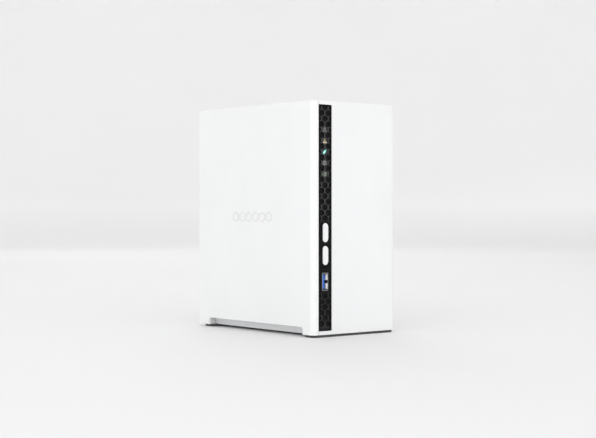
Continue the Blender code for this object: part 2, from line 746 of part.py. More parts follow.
# Fan


def make_fan_frame(finish):
    """A square frame with a round bore; four slanting struts hold the motor's disc at the outlet side."""
    square_x, square_z = (-FAN_HALF, FAN_HALF), (FAN_Z - FAN_HALF, FAN_Z + FAN_HALF)
    frame = prism_object("fan_frame", finish, rounded(square_x, square_z, 3.5, 4), "Y", *FAN_Y)
    holes = bmesh.new()
    add_cylinder(holes, "Y", (0.0, FAN_Z), FAN_BORE_R, FAN_Y[0] - 5, FAN_Y[1] + 5, 48)
    for side in (-1, 1):
        for up in (-1, 1):
            place = (side * FAN_HOLE, FAN_Z + up * FAN_HOLE)
            add_cylinder(holes, "Y", place, FAN_SCREW_R + GAP, FAN_Y[0] - 5, FAN_Y[1] + 5, 12)
    cut(frame, holes)
    join_prism(frame, circle((0.0, FAN_Z), 16.0, 32), "Y", FAN_Y[1] - FAN_MOUNT_SHEET, FAN_Y[1])
    reach = 28.5
    half = 1.6
    for slant in (-1, 1):
        strut = [(-reach - half, -reach + half), (-reach + half, -reach - half)]
        strut += [(reach + half, reach - half), (reach - half, reach + half)]
        outline = [(slant * a, FAN_Z + b) for a, b in strut]
        join_prism(frame, outline, "Y", FAN_Y[1] - 2.6, FAN_Y[1] - 0.2)


def add_blade(bm, angle):
    """A twisted blade from inside the hub's wall out to the tip, as a closed sheet of constant thickness."""
    radii = [14.6, 22.0, 29.5, 36.8]
    spans, chord_steps, thickness = 0.46, 4, 1.3
    front, back = [], []
    for index, radius in enumerate(radii):
        sweep = 0.10 * index
        for step in range(chord_steps + 1):
            share = step / chord_steps - 0.5
            turn = angle + sweep + share * 2 * spans * (1 - 0.06 * index)
            depth = 61.0 + share * (15.0 - 1.6 * index) + 3.0 * (0.25 - share * share)
            direction = (math.cos(turn), math.sin(turn))
            for rows, lift in ((front, -thickness / 2), (back, thickness / 2)):
                point = (radius * direction[0], depth + lift, FAN_Z + radius * direction[1])
                rows.append(bm.verts.new(point))
    width = chord_steps + 1
    for rows in (front, back):
        for i in range(len(radii) - 1):
            for j in range(chord_steps):
                corner = i * width + j
                bm.faces.new((rows[corner], rows[corner + 1], rows[corner + width + 1], rows[corner + width]))
    rim = [j for j in range(width)]
    rim += [i * width + width - 1 for i in range(1, len(radii))]
    rim += [(len(radii) - 1) * width + j for j in reversed(range(width - 1))]
    rim += [i * width for i in reversed(range(1, len(radii) - 1))]
    for k in range(len(rim)):
        first, second = rim[k], rim[(k + 1) % len(rim)]
        bm.faces.new((front[first], front[second], back[second], back[first]))


def make_fan_rotor(finish):
    """A hub cup, closed towards the drives, with seven blades round it."""
    bm = bmesh.new()
    add_cylinder(bm, "Y", (0.0, FAN_Z), FAN_HUB_R, *FAN_HUB_Y, 36)
    bevel_edges(bm, lambda point: point.y < FAN_HUB_Y[0] + 0.01, 1.0, 2)
    rotor = finish_object("fan_rotor", bm, finish, (0.0, sum(FAN_Y) / 2, FAN_Z))
    blades = bmesh.new()
    for index in range(FAN_BLADES):
        add_blade(blades, index * 2 * math.pi / FAN_BLADES)
    join(rotor, blades)
    cut_prism(rotor, circle((0.0, FAN_Z), FAN_HUB_R - 2.0, 32), "Y", FAN_HUB_Y[0] + 2.0, 75.0)


def make_fan_motor(coil_finish, steel_finish):
    """The wound stator that stays on the frame, and the shaft that turns in it."""
    axis = (0.0, FAN_Z)
    stator_end = FAN_Y[1] - FAN_MOUNT_SHEET - GAP
    stator = prism_object("fan_stator", coil_finish, circle(axis, STATOR_R, 24), "Y", 56.0, stator_end)
    cut_prism(stator, circle(axis, SHAFT_R + 0.4, 12), "Y", 50.0, 80.0)
    origin = (0.0, sum(FAN_Y) / 2, FAN_Z)
    shaft_start = FAN_HUB_Y[0] + 2.0 + GAP
    prism_object("fan_shaft", steel_finish, circle(axis, SHAFT_R, 12), "Y", shaft_start, 70.0, origin)


# Fasteners and leads


def make_screw(name, finish, axis, place, seat, way, head, shank):
    """A screw with a domed head and a cross recess.

    place is its centre in the other two axes, seat is where its head bears, and way is the side of the seat
    that the head lies on. head and shank are (radius, length).
    """
    head_r, head_h = head
    shank_r, shank_l = shank
    bm = bmesh.new()
    add_cylinder(bm, axis, place, head_r, *sorted((seat, seat + way * head_h)), 14)
    index = "XYZ".index(axis)
    top = seat + way * head_h
    bevel_edges(bm, lambda point: abs(point[index] - top) < 0.01, min(0.45, head_h * 0.4), 1)
    screw = finish_object(name, bm, finish)
    join_prism(screw, circle(place, shank_r, 10), axis, *sorted((seat - way * shank_l, seat + way * 0.3)))
    arm, half = head_r * 0.55, 0.3
    quarter = [(half, arm), (half, half), (arm, half)]
    cross = []
    for a, b in ((1, 1), (1, -1), (-1, -1), (-1, 1)):
        points = quarter if a * b > 0 else list(reversed(quarter))
        cross += [(place[0] + a * p, place[1] + b * q) for p, q in points]
    cut_prism(screw, cross, axis, *sorted((top - way * head_h * 0.6, top + way * 2)))


def make_screws(dark, bright):
    """The case screws and fan screws through the rear panel, and the screws that hold the board and cage."""
    seat = PANEL_Y[1] + GAP
    for number, z in enumerate(COVER_SCREW_Z, 1):
        for name, side in (("cover_screw", -1), ("panel_screw", 1)):
            place = (side * COVER_SCREW_X, z)
            make_screw(f"{name}_{number}", bright, "Y", place, seat, 1, (2.5, 1.1), (SCREW_R, 7.6))
    corners = [(side, up) for up in (-1, 1) for side in (-1, 1)]
    for number, (side, up) in enumerate(corners, 1):
        place = (side * FAN_HOLE, FAN_Z + up * FAN_HOLE)
        make_screw(f"fan_screw_{number}", dark, "Y", place, seat, 1, (3.3, 1.1), (FAN_SCREW_R, 9.0))
    for number, place in enumerate(STANDOFFS, 1):
        seat_z = CAGE_FOOT + CAGE_SHEET + GAP
        make_screw(f"board_screw_{number}", bright, "Z", place, seat_z, 1, (2.5, 1.3), (SCREW_R, 9.5))


def smooth_route(points, spacing):
    """Points along a Catmull-Rom curve through the given ones, about this far apart."""
    controls = [Vector(point) for point in points]
    padded = [2 * controls[0] - controls[1], *controls, 2 * controls[-1] - controls[-2]]
    route = []
    for before, start, end, after in zip(padded, padded[1:], padded[2:], padded[3:]):
        count = max(1, round((end - start).length / spacing))
        for step in range(count):
            t = step / count
            route.append(
                0.5
                * (
                    2 * start
                    + (end - before) * t
                    + (2 * before - 5 * start + 4 * end - after) * t**2
                    + (3 * start - before - 3 * end + after) * t**3
                )
            )
    route.append(controls[-1])
    return route


def make_lead(name, finish, points, radius):
    """A round lead along a smooth route, closed at both ends."""
    curve = bpy.data.curves.new(name, "CURVE")
    curve.dimensions = "3D"
    curve.bevel_depth = radius * MM
    curve.bevel_resolution = 2
    curve.use_fill_caps = True
    route = smooth_route(points, 4.5)
    spline = curve.splines.new("POLY")
    spline.points.add(len(route) - 1)
    for point, place in zip(spline.points, route):
        point.co = (*(place * MM), 1.0)
    curve.materials.append(finish)
    bpy.context.scene.collection.objects.link(bpy.data.objects.new(name, curve))


def make_leads(finish):
    fan_route = [(34.0, 61.0, 94.6), (34.6, 59.5, 84.0), (35.0, 56.0, 62.0), (34.4, 52.0, 38.0)]
    fan_route += [(33.8, 50.0, 24.0), (33.6, 49.5, BOARD_TOP)]
    make_lead("fan_lead", finish, fan_route, 1.0)
    board_back = FRONT_BOARD_Y[1] + GAP
    front_route = [
        (-36.0, board_back, 44.0),
        (-36.0, board_back + 3.2, 42.6),
        (-36.0, board_back + 4.4, 36.0),
        (-35.8, board_back + 2.6, 26.0),
        (-35.0, board_back - 1.2, 18.5),
        (-34.5, -67.0, BOARD_TOP),
    ]
    make_lead("front_lead", finish, front_route, 1.0)


def main():
    clear_scene()
    white = material("case_white", (0.87, 0.88, 0.89), 0.38)
    grey_white = material("base_white", (0.80, 0.81, 0.83), 0.45)
    black = material("strip_black", (0.012, 0.012, 0.014), 0.28)
    button_white = material("button_white", (0.90, 0.91, 0.92), 0.32)
    rubber = material("foot_rubber", (0.06, 0.06, 0.065), 0.8)
    steel = material("sheet_steel", (0.55, 0.56, 0.58), 0.35, 1.0)
    screw_bright = material("screw_zinc", (0.68, 0.69, 0.72), 0.3, 1.0)
    screw_dark = material("screw_black", (0.05, 0.05, 0.055), 0.4, 1.0)
    socket_steel = material("socket_steel", (0.62, 0.63, 0.65), 0.28, 1.0)
    tongue_blue = material("tongue_blue", (0.02, 0.16, 0.62), 0.4)
    tongue_black = material("tongue_black", (0.02, 0.02, 0.022), 0.45)
    board_green = material("board_green", (0.02, 0.13, 0.07), 0.4)
    chip = material("chip_black", (0.025, 0.025, 0.028), 0.5)
    fins = material("fin_aluminium", (0.72, 0.73, 0.75), 0.4, 1.0)
    cell_steel = material("cell_steel", (0.7, 0.7, 0.71), 0.3, 1.0)
    fan_plastic = material("fan_black", (0.018, 0.018, 0.02), 0.42)
    coil = material("coil_copper", (0.5, 0.22, 0.1), 0.4, 1.0)
    shaft_steel = material("shaft_steel", (0.6, 0.6, 0.62), 0.2, 1.0)
    drive_metal = material("drive_cast", (0.36, 0.37, 0.39), 0.45, 1.0)
    lead_black = material("lead_black", (0.02, 0.02, 0.022), 0.5)
    pipe_colours = [
        (0.35, 0.36, 0.37),
        (0.85, 0.55, 0.32),
        (0.25, 0.85, 0.75),
        (0.36, 0.37, 0.36),
        (0.38, 0.42, 0.37),
    ]
    pipes = [material(f"pipe_{i + 1}", colour, 0.3) for i, colour in enumerate(pipe_colours)]

    make_main_shell(white)
    make_side_cover(white)
    make_base_tray(grey_white)
    make_foot("front_foot", rubber, FRONT_FOOT_Y)
    make_foot("rear_foot", rubber, REAR_FOOT_Y)
    make_rear_panel(grey_white)

    make_front_strip(black)
    make_button("power_button", button_white, POWER_Z)
    make_button("copy_button", button_white, COPY_Z)
    make_push_switch("power_switch", "power_plunger", chip, socket_steel, POWER_Z)
    make_push_switch("copy_switch", "copy_plunger", chip, socket_steel, COPY_Z)
    make_light_pipes(pipes)
    make_front_board(board_green)
    front_width = centred(FRONT_USB_Z, USB_OUTER[0])
    front_height = centred(CONTROL_X, USB_OUTER[1])
    front_depth = (FRONT_USB_FACE, FRONT_BOARD_Y[0] - GAP)
    make_usb_socket("front_usb", socket_steel, tongue_blue, "Z", front_width, front_height, front_depth, -1)

    make_mainboard(board_green)
    make_board_chips(chip, cell_steel)
    make_heatsink(fins)
    make_lan_socket(socket_steel)
    for name, height in (("rear_usb_lower", REAR_USB_LOW), ("rear_usb_upper", REAR_USB_HIGH)):
        make_usb_socket(name, socket_steel, tongue_black, "X", REAR_USB_X, height, REAR_USB_Y, 1)
    make_power_inlet(tongue_black, socket_steel)
    make_reset_switch(chip, tongue_black)
    make_drive_sockets(tongue_black)

    make_drive_cage(steel)
    make_drive("drive_left", drive_metal, -1)
    make_drive("drive_right", drive_metal, 1)

    make_fan_frame(fan_plastic)
    make_fan_rotor(fan_plastic)
    make_fan_motor(coil, shaft_steel)
    make_screws(screw_dark, screw_bright)
    make_leads(lead_black)


main()
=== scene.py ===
"""The looks of a white two-bay desktop storage box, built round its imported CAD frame.

Every size is in metres, in the CAD's frame: +Z up, the front faces -Y, the feet stand on z = 0.
"""

import json
import math

import bmesh
import bpy
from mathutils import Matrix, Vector


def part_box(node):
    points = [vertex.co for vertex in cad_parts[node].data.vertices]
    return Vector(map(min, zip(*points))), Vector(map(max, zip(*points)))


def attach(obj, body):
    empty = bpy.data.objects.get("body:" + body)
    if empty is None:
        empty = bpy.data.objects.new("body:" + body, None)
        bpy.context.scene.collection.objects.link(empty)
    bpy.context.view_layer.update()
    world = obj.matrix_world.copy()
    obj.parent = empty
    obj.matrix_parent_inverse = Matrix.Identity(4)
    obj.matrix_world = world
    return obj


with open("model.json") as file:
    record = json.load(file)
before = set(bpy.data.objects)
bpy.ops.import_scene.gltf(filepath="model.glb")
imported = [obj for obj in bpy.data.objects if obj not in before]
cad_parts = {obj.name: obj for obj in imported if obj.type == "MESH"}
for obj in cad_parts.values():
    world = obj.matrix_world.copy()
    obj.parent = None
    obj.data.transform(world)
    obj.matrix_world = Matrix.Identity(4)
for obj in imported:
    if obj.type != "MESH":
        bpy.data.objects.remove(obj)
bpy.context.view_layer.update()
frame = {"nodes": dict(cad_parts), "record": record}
NODES = frame["nodes"]
MM = 0.001
CHASSIS = "chassis"  # the body that every piece made here rides on


# ---------------------------------------------------------------- material nodes


class Graph:
    """A short way to write one material's nodes."""

    def __init__(self, name, roughness=0.5, metallic=0.0):
        self.material = bpy.data.materials.new(name)
        self.material.use_nodes = True
        self.tree = self.material.node_tree
        self.shader = self.tree.nodes["Principled BSDF"]
        self.shader.inputs["Roughness"].default_value = roughness
        self.shader.inputs["Metallic"].default_value = metallic
        self.place = self.add("ShaderNodeTexCoord").outputs["Object"]

    def add(self, kind, inputs=None, **settings):
        node = self.tree.nodes.new(kind)
        for key, value in settings.items():
            setattr(node, key, value)
        for key, value in (inputs or {}).items():
            self.feed(node.inputs[key], value)
        return node

    def feed(self, socket, value):
        if isinstance(value, bpy.types.NodeSocket):
            self.tree.links.new(value, socket)
        else:
            socket.default_value = value

    def set(self, **values):
        """Set or link the shader's own sockets; an underscore in a name stands for a space."""
        for key, value in values.items():
            self.feed(self.shader.inputs[key.replace("_", " ")], value)

    def stretched(self, scale):
        """The place, stretched by a factor on each axis."""
        return self.add("ShaderNodeMapping", {"Vector": self.place, "Scale": scale}).outputs["Vector"]

    def noise(self, scale, detail=3.0, roughness=0.5, place=None):
        inputs = {"Vector": place or self.place, "Scale": scale, "Detail": detail, "Roughness": roughness}
        return self.add("ShaderNodeTexNoise", inputs).outputs["Fac"]

    def cells(self, scale, place=None, feature="F1"):
        inputs = {"Vector": place or self.place, "Scale": scale}
        return self.add("ShaderNodeTexVoronoi", inputs, feature=feature).outputs["Distance"]

    def span(self, value, low, high, to_low=0.0, to_high=1.0):
        """Map low..high to to_low..to_high, held at both ends."""
        inputs = {"Value": value, "From Min": low, "From Max": high, "To Min": to_low, "To Max": to_high}
        return self.add("ShaderNodeMapRange", inputs).outputs["Result"]

    def calc(self, operation, first, second=0.0):
        node = self.add("ShaderNodeMath", operation=operation)
        self.feed(node.inputs[0], first)
        self.feed(node.inputs[1], second)
        return node.outputs[0]

    def blend(self, share, first, second, how="MIX"):
        node = self.add("ShaderNodeMix", data_type="RGBA", blend_type=how)
        self.feed(node.inputs["Factor"], share)
        for socket, value in ((node.inputs[6], first), (node.inputs[7], second)):
            self.feed(socket, value if isinstance(value, bpy.types.NodeSocket) else (*value, 1.0))
        return node.outputs[2]

    def bump(self, height, distance, strength=1.0, below=None):
        inputs = {"Height": height, "Distance": distance, "Strength": strength}
        if below:
            inputs["Normal"] = below
        return self.add("ShaderNodeBump", inputs).outputs["Normal"]

    def edges(self, radius):
        """1 along sharp edges and 0 on open faces, from how far a rounded normal leans off the true one."""
        rounded = self.add("ShaderNodeBevel", {"Radius": radius}, samples=4).outputs["Normal"]
        true = self.add("ShaderNodeNewGeometry").outputs["Normal"]
        node = self.add("ShaderNodeVectorMath", operation="DOT_PRODUCT")
        self.feed(node.inputs[0], rounded)
        self.feed(node.inputs[1], true)
        return self.span(node.outputs["Value"], 0.995, 0.90, 0.0, 1.0)


def shade(colour, factor):
    """A colour made lighter or darker by a factor."""
    return tuple(min(1.0, channel * factor) for channel in colour)


def moulded(name, colour, roughness, grain=0.45 * MM, depth=0.012 * MM, spread=0.05, coat=0.0, crease_shade=0.0):
    """Injection moulded plastic: a fine spark-eroded grain, slow flow marks, slightly polished edges and,
    where asked, painted shade in its creases.
    """
    g = Graph(name)
    fine = g.noise(1 / grain, 3.0, 0.65)
    pits = g.cells(0.8 / grain)
    flow = g.noise(28.0, 3.0, 0.5, g.stretched((1.0, 1.0, 0.45)))
    handled = g.noise(75.0, 5.0, 0.6)
    tint = g.blend(g.span(flow, 0.3, 0.7), shade(colour, 0.985), shade(colour, 1.012))
    tint = g.blend(g.span(fine, 0.3, 0.72, 0.0, 0.35), tint, shade(colour, 0.965))
    edge = g.edges(0.5 * MM)
    worn = g.calc("MULTIPLY", edge, g.span(handled, 0.35, 0.7, 0.15, 0.8))
    tint = g.blend(g.calc("MULTIPLY", worn, 0.35), tint, shade(colour, 1.10))
    # Painted shade: creases, grooves and seams are darkened by their ambient occlusion.
    if crease_shade:
        occlusion = g.add("ShaderNodeAmbientOcclusion", {"Distance": 1.2 * MM}, samples=8).outputs["AO"]
        tint = g.blend(g.span(occlusion, 0.95, 0.45, 0.0, crease_shade), tint, shade(colour, 0.45))
    rough = g.span(handled, 0.3, 0.7, roughness - spread, roughness + spread)
    rough = g.calc("SUBTRACT", rough, g.calc("MULTIPLY", worn, 0.08))
    relief = g.calc("ADD", g.calc("MULTIPLY", fine, 0.65), g.calc("MULTIPLY", pits, 0.35))
    waves = g.bump(flow, 0.05 * MM, 0.25)
    g.set(Base_Color=tint, Roughness=rough, Normal=g.bump(relief, depth, 0.8, waves))
    g.set(Coat_Weight=coat, Coat_Roughness=0.12, IOR=1.5)
    return g.material


def rubber(name, colour):
    """Matt rubber with a chalky bloom, dust in its grain and scuffed edges."""
    g = Graph(name)
    grain = g.noise(2600.0, 4.0, 0.7)
    bloom = g.noise(160.0, 4.0, 0.6)
    tint = g.blend(g.span(bloom, 0.35, 0.7), colour, shade(colour, 1.8))
    scuff = g.calc("MULTIPLY", g.edges(0.4 * MM), g.span(g.noise(500.0), 0.4, 0.65))
    tint = g.blend(g.calc("MULTIPLY", scuff, 0.5), tint, (0.22, 0.22, 0.22))
    g.set(Base_Color=tint, Roughness=g.span(grain, 0.3, 0.7, 0.68, 0.9), Normal=g.bump(grain, 0.03 * MM, 0.9))
    g.set(Sheen_Weight=0.15, Sheen_Roughness=0.5, Specular_IOR_Level=0.35)
    return g.material


def metal(name, colour, roughness, lines=(1.0, 1.0, 1.0), grain=2400.0, dull=0.12, worn=1.25):
    """Bare or plated metal: directional grain, slow patches in the plating and rubbed bright edges."""
    g = Graph(name, metallic=1.0)
    brushed = g.noise(grain, 4.0, 0.6, g.stretched(lines))
    patch = g.noise(120.0, 4.0, 0.55)
    tint = g.blend(g.span(patch, 0.3, 0.7), shade(colour, 0.88), shade(colour, 1.06))
    rub = g.calc("MULTIPLY", g.edges(0.35 * MM), g.span(g.noise(420.0), 0.35, 0.65))
    tint = g.blend(g.calc("MULTIPLY", rub, 0.8), tint, shade(colour, worn))
    rough = g.span(brushed, 0.3, 0.7, roughness - 0.06, roughness + 0.08)
    rough = g.calc("ADD", rough, g.span(patch, 0.35, 0.75, 0.0, dull))
    g.set(Base_Color=tint, Roughness=rough, Normal=g.bump(brushed, 0.008 * MM, 0.6))
    return g.material


STRIP_MIDDLE_X = -32.17 * MM
RIB_Y = (-77.6 * MM, -77.1 * MM)  # the ribs' front plane, and the depth where the pockets' painted shade is full


def relief_black(name, rib, pocket):
    """The front strip's moulding: satin ribs on its honeycomb, near-black rims and plain middle, and pockets
    painted near-black by their depth as painted shade.
    """
    g = Graph(name)
    place = g.add("ShaderNodeSeparateXYZ", {"Vector": g.place}).outputs
    height = place["Z"]
    # Painted shade: the deeper a face lies behind the ribs' front, the more it takes the pockets' near-black.
    raised = g.span(place["Y"], *RIB_Y, 1.0, 0.0)
    upper_start = g.span(height, 91.0 * MM, 97.0 * MM)
    above = g.calc("MULTIPLY", upper_start, g.span(height, 185.0 * MM, 183.5 * MM))
    lower_end = g.span(height, 37.0 * MM, 33.0 * MM, 0.0, 0.45)
    below = g.calc("MULTIPLY", lower_end, g.span(height, 6.0 * MM, 8.0 * MM))
    aside = g.calc("ABSOLUTE", g.calc("SUBTRACT", place["X"], STRIP_MIDDLE_X))
    inside = g.span(aside, 4.4 * MM, 5.6 * MM, 1.0, 0.12)
    ribs = g.calc("MULTIPLY", g.calc("MULTIPLY", raised, g.calc("MAXIMUM", above, below)), inside)
    grain = g.noise(1500.0, 4.0, 0.65)
    cloud = g.noise(90.0, 4.0, 0.6)
    dust = g.span(g.cells(1300.0), 0.0, 0.07, 1.0, 0.0)
    tint = g.blend(ribs, pocket, g.blend(g.span(cloud, 0.3, 0.7), shade(rib, 0.7), shade(rib, 1.25)))
    worn = g.calc("MULTIPLY", g.edges(0.25 * MM), g.calc("MULTIPLY", ribs, 0.6))
    tint = g.blend(worn, tint, shade(rib, 2.2))
    tint = g.blend(g.calc("MULTIPLY", dust, 0.04), tint, (0.3, 0.3, 0.3))
    g.set(Base_Color=tint, Roughness=g.span(cloud, 0.3, 0.7, 0.30, 0.42))
    g.set(Normal=g.bump(grain, 0.006 * MM, 0.5), Specular_IOR_Level=0.10)
    g.set(Coat_Weight=0.04, Coat_Roughness=0.2)
    return g.material


def circuit_board(name, colour):
    """Solder resist over laminate: raised copper tracks, vias and the weave of the glass cloth."""
    g = Graph(name)
    block = g.add("ShaderNodeTexVoronoi", {"Vector": g.place, "Scale": 210.0}, distance="CHEBYCHEV")
    tracks = g.add("ShaderNodeTexWave", {"Vector": block.outputs["Position"], "Scale": 3.0}).outputs["Fac"]
    lanes = g.add("ShaderNodeTexBrick", {"Vector": g.place, "Scale": 160.0, "Mortar Size": 0.06})
    line = g.calc("SUBTRACT", 1.0, lanes.outputs["Fac"])
    vias = g.span(g.cells(420.0), 0.10, 0.16, 1.0, 0.0)
    weave = g.noise(3000.0, 2.0, 0.5, g.stretched((1.0, 0.2, 1.0)))
    tint = g.blend(g.calc("MULTIPLY", line, g.span(tracks, 0.2, 0.8, 0.2, 0.9)), colour, shade(colour, 1.9))
    tint = g.blend(vias, tint, (0.45, 0.36, 0.16))
    tint = g.blend(g.span(weave, 0.4, 0.7, 0.0, 0.25), tint, shade(colour, 0.7))
    relief = g.calc("ADD", g.calc("MULTIPLY", line, 0.6), g.calc("MULTIPLY", vias, 0.4))
    g.set(Base_Color=tint, Roughness=g.span(weave, 0.3, 0.7, 0.28, 0.45))
    g.set(Normal=g.bump(relief, 0.03 * MM, 0.6), Coat_Weight=0.4, Coat_Roughness=0.2)
    return g.material


def glowing(name, colour, lamp=(1.0, 1.0, 1.0), strength=0.0):
    """A tinted light guide or printed symbol, with light behind it where strength is above 0."""
    g = Graph(name)
    cloud = g.noise(900.0, 3.0, 0.5)
    tint = g.blend(g.span(cloud, 0.3, 0.7), shade(colour, 0.85), shade(colour, 1.1))
    g.set(Base_Color=tint, Roughness=g.span(cloud, 0.3, 0.7, 0.22, 0.36), Coat_Weight=0.3)
    g.set(Normal=g.bump(cloud, 0.01 * MM, 0.5))
    if strength:
        glow = g.blend(g.span(cloud, 0.3, 0.7), shade(lamp, 0.8), lamp)
        g.set(Emission_Color=glow, Emission_Strength=strength)
    return g.material


def wound_copper(name, colour):
    """Enamelled wire in close turns."""
    g = Graph(name, metallic=1.0)
    inputs = {"Vector": g.place, "Scale": 700.0, "Distortion": 0.6}
    fac = g.add("ShaderNodeTexWave", inputs, bands_direction="Y").outputs["Fac"]
    g.set(Base_Color=g.blend(fac, shade(colour, 0.45), colour), Roughness=g.span(fac, 0.0, 1.0, 0.45, 0.25))
    g.set(Normal=g.bump(fac, 0.12 * MM, 0.9))
    return g.material


WHITE = (0.86, 0.865, 0.87)
MATERIALS = {
    # Both whites darken their creases and seams as painted shade.
    "case_white": moulded("case_white", WHITE, 0.42, spread=0.04, crease_shade=0.5),
    "base_white": moulded("base_white", (0.82, 0.83, 0.84), 0.50, crease_shade=0.4),
    # The second colour is the near-black of the rims and plain middle, and the painted shade in the pockets.
    "strip_black": relief_black("strip_black", (0.062, 0.062, 0.064), (0.0025, 0.0025, 0.003)),
    "button_white": moulded("button_white", (0.86, 0.865, 0.87), 0.34, grain=0.3 * MM, depth=0.006 * MM),
    "foot_rubber": rubber("foot_rubber", (0.045, 0.045, 0.048)),
    "sheet_steel": metal("sheet_steel", (0.42, 0.43, 0.44), 0.36, (1.0, 1.0, 0.08)),
    "screw_zinc": metal("screw_zinc", (0.42, 0.43, 0.46), 0.30),
    "screw_black": metal("screw_black", (0.06, 0.06, 0.065), 0.38, worn=4.0),
    "socket_steel": metal("socket_steel", (0.44, 0.45, 0.47), 0.30, (1.0, 0.15, 1.0)),
    "tongue_blue": moulded("tongue_blue", (0.02, 0.13, 0.58), 0.38, grain=0.2 * MM),
    "socket_black": moulded("socket_black", (0.02, 0.02, 0.022), 0.42, grain=0.25 * MM),
    "board_green": circuit_board("board_green", (0.016, 0.10, 0.055)),
    "chip_black": moulded("chip_black", (0.028, 0.028, 0.031), 0.55, grain=0.15 * MM),
    "fin_aluminium": metal("fin_aluminium", (0.72, 0.73, 0.75), 0.36, (1.0, 0.1, 1.0)),
    "cell_steel": metal("cell_steel", (0.70, 0.70, 0.71), 0.26),
    "fan_black": moulded("fan_black", (0.022, 0.022, 0.024), 0.40, grain=0.35 * MM),
    "coil_copper": wound_copper("coil_copper", (0.62, 0.28, 0.12)),
    "shaft_steel": metal("shaft_steel", (0.62, 0.62, 0.64), 0.20),
    "drive_cast": metal("drive_cast", (0.38, 0.39, 0.41), 0.46, grain=1500.0),
    "lead_black": moulded("lead_black", (0.02, 0.02, 0.022), 0.5, grain=0.2 * MM),
    "pipe_grey": glowing("pipe_grey", (0.006, 0.006, 0.006)),
    "pipe_amber": glowing("pipe_amber", (0.010, 0.006, 0.003)),
    "pipe_teal": glowing("pipe_teal", (0.002, 0.010, 0.009)),
}
GOLD = metal("contact_gold", (0.86, 0.62, 0.26), 0.22)
SPRING = metal("spring_bright", (0.93, 0.93, 0.94), 0.5, dull=0.05)
SOLDER = metal("solder_tin", (0.70, 0.71, 0.73), 0.30)
LABEL = moulded("blank_label", (0.40, 0.41, 0.42), 0.30, grain=0.8 * MM, depth=0.004 * MM)
NYLON = moulded("nylon_white", (0.78, 0.76, 0.70), 0.45)
CERAMIC = moulded("ceramic_tan", (0.42, 0.30, 0.19), 0.5, grain=0.2 * MM)
SLEEVE = moulded("capacitor_sleeve", (0.035, 0.04, 0.075), 0.28, grain=0.3 * MM, coat=0.3)
FERRITE = moulded("inductor_ferrite", (0.09, 0.09, 0.095), 0.6, grain=0.25 * MM, depth=0.03 * MM)
LAMP_BODY = moulded("lamp_body", (0.80, 0.79, 0.70), 0.35, grain=0.2 * MM)
LENS_GREEN = glowing("lens_green", (0.05, 0.30, 0.08))
LENS_AMBER = glowing("lens_amber", (0.45, 0.22, 0.03))
# Near-black for openings and recesses: painted shade where light doesn't reach.
HOLE_SHADE = moulded("painted_hole_shade", (0.006, 0.006, 0.007), 0.8)

for row in frame["record"]["subparts"]:
    node = NODES[row["node"]]
    node.data.materials.clear()
    node.data.materials.append(MATERIALS[row["material_slot"]])


# ---------------------------------------------------------------- softened edges


SHARP_ANGLE = 47.0  # degrees; the two strips of a rounded right angle meet at 45


def smoothing_group():
    """A node group that shades a mesh smooth, but keeps edges above an angle sharp."""
    group = bpy.data.node_groups.new("smooth_below_angle", "GeometryNodeTree")
    group.interface.new_socket("Geometry", in_out="INPUT", socket_type="NodeSocketGeometry")
    group.interface.new_socket("Geometry", in_out="OUTPUT", socket_type="NodeSocketGeometry")
    entry = group.nodes.new("NodeGroupInput")
    leave = group.nodes.new("NodeGroupOutput")
    faces = group.nodes.new("GeometryNodeSetShadeSmooth")
    faces.domain = "FACE"
    edges = group.nodes.new("GeometryNodeSetShadeSmooth")
    edges.domain = "EDGE"
    edges.inputs["Shade Smooth"].default_value = False
    angle = group.nodes.new("GeometryNodeInputMeshEdgeAngle")
    compare = group.nodes.new("FunctionNodeCompare")
    compare.data_type = "FLOAT"
    compare.operation = "GREATER_THAN"
    compare.inputs["B"].default_value = math.radians(SHARP_ANGLE)
    group.links.new(entry.outputs[0], faces.inputs["Geometry"])
    group.links.new(faces.outputs["Geometry"], edges.inputs["Geometry"])
    group.links.new(angle.outputs["Unsigned Angle"], compare.inputs["A"])
    group.links.new(compare.outputs["Result"], edges.inputs["Selection"])
    group.links.new(edges.outputs["Geometry"], leave.inputs[0])
    return group


SMOOTH_BELOW_ANGLE = smoothing_group()


def soften(obj, width=0.0, segments=2):
    """Round an object's hard edges a little and shade its curves smooth, without touching its mesh."""
    weld = obj.modifiers.new("weld", "WELD")
    weld.merge_threshold = 0.001 * MM
    if width:
        flat = obj.modifiers.new("flat", "DECIMATE")
        flat.decimate_type = "DISSOLVE"
        flat.angle_limit = math.radians(0.5)
        bevel = obj.modifiers.new("bevel", "BEVEL")
        bevel.width = width
        bevel.segments = segments
        bevel.limit_method = "ANGLE"
        bevel.angle_limit = math.radians(35)
    obj.modifiers.new("smooth", "NODES").node_group = SMOOTH_BELOW_ANGLE
    weighted = obj.modifiers.new("weighted", "WEIGHTED_NORMAL")
    weighted.keep_sharp = True
    weighted.weight = 80


SOFT_EDGES = {
    "main_shell": 0.25 * MM,
    "side_cover": 0.14 * MM,
    "base_tray": 0.25 * MM,
    "front_strip": 0.10 * MM,
    "rear_panel": 0.12 * MM,
    "power_button": 0.2 * MM,
    "copy_button": 0.2 * MM,
}
for node_name, node in NODES.items():
    soften(node, SOFT_EDGES.get(node_name, 0.0))


# ---------------------------------------------------------------- building pieces (sizes in millimetres)


def rectangle(a, b):
    return [(a[0], b[0]), (a[1], b[0]), (a[1], b[1]), (a[0], b[1])]


def centred(middle, size):
    """The two ends of a span with this middle and size."""
    return (middle - size / 2, middle + size / 2)


def circle(centre, radius, sides=24):
    turn = 2 * math.pi / sides
    return [
        (centre[0] + radius * math.cos((i + 0.5) * turn), centre[1] + radius * math.sin((i + 0.5) * turn))
        for i in range(sides)
    ]


